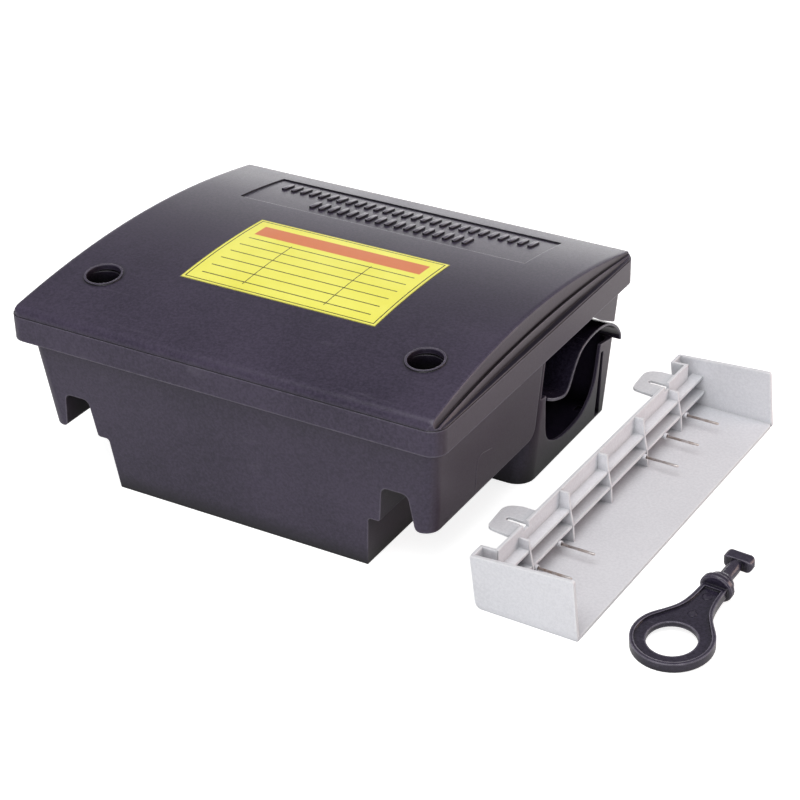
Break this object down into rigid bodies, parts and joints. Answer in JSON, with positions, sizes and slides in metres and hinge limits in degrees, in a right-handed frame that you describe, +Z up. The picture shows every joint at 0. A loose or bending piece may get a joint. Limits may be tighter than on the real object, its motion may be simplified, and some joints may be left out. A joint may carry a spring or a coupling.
{
  "type": "rodent bait station",
  "caption": "Lockable rodent bait station with an arched hinged lid and side entries, shown closed beside its lift-out bait tray and its key.",
  "frame": {"origin": "on the floor under the middle of the lid, on the flat underside of the base", "axes": "+Z up, +X along the long side of the box towards the loose tray, +Y towards the hinge"},
  "size_m": [0.4098, 0.2572, 0.1196],
  "materials": {
    "black_plastic": "satin moulded plastic",
    "gloss_black": "smooth moulded plastic",
    "dark_grey_plastic": "matt moulded plastic",
    "grey_plastic": "satin moulded plastic",
    "yellow_film": "printed film",
    "steel": "drawn wire"
  },
  "bodies": {
    "base": {"base_shell": "black_plastic", "left_entry_hood": "gloss_black", "right_entry_hood": "gloss_black", "left_hinge_pin": "steel", "right_hinge_pin": "steel"},
    "lid": {"lid_shell": "black_plastic", "label_sticker": "yellow_film", "left_lock_clip": "steel", "right_lock_clip": "steel", "left_lock_spring": "steel", "right_lock_spring": "steel"},
    "left_lock": {"left_lock_barrel": "dark_grey_plastic"},
    "right_lock": {"right_lock_barrel": "dark_grey_plastic"},
    "tray": {"bait_tray": "grey_plastic", "tray_pin_1": "steel", "tray_pin_2": "steel", "tray_pin_3": "steel", "tray_pin_4": "steel", "tray_pin_5": "steel"},
    "loose_key": {"key": "gloss_black"}
  },
  "joints": [
    {"name": "lid_hinge", "type": "hinge", "parent": "base", "child": "lid", "pos_m": [0, 0.1193, 0.0852], "axis": [-1, 0, 0], "range_deg": [0, 110]},
    {"name": "left_lock_turn", "type": "hinge", "parent": "lid", "child": "left_lock", "pos_m": [-0.102, -0.0704, 0.0842], "axis": [0, 0, -1], "range_deg": [0, 90]},
    {"name": "right_lock_turn", "type": "hinge", "parent": "lid", "child": "right_lock", "pos_m": [0.102, -0.0704, 0.0842], "axis": [0, 0, 1], "range_deg": [0, 90]},
    {"name": "tray_lift", "type": "slide", "parent": "base", "child": "tray", "axis": [0, 0, 1], "range_m": [0, 0.15]},
    {"name": "key_lift", "type": "slide", "parent": "base", "child": "loose_key", "axis": [0, 0, 1], "range_m": [0, 0.15]}
  ]
}
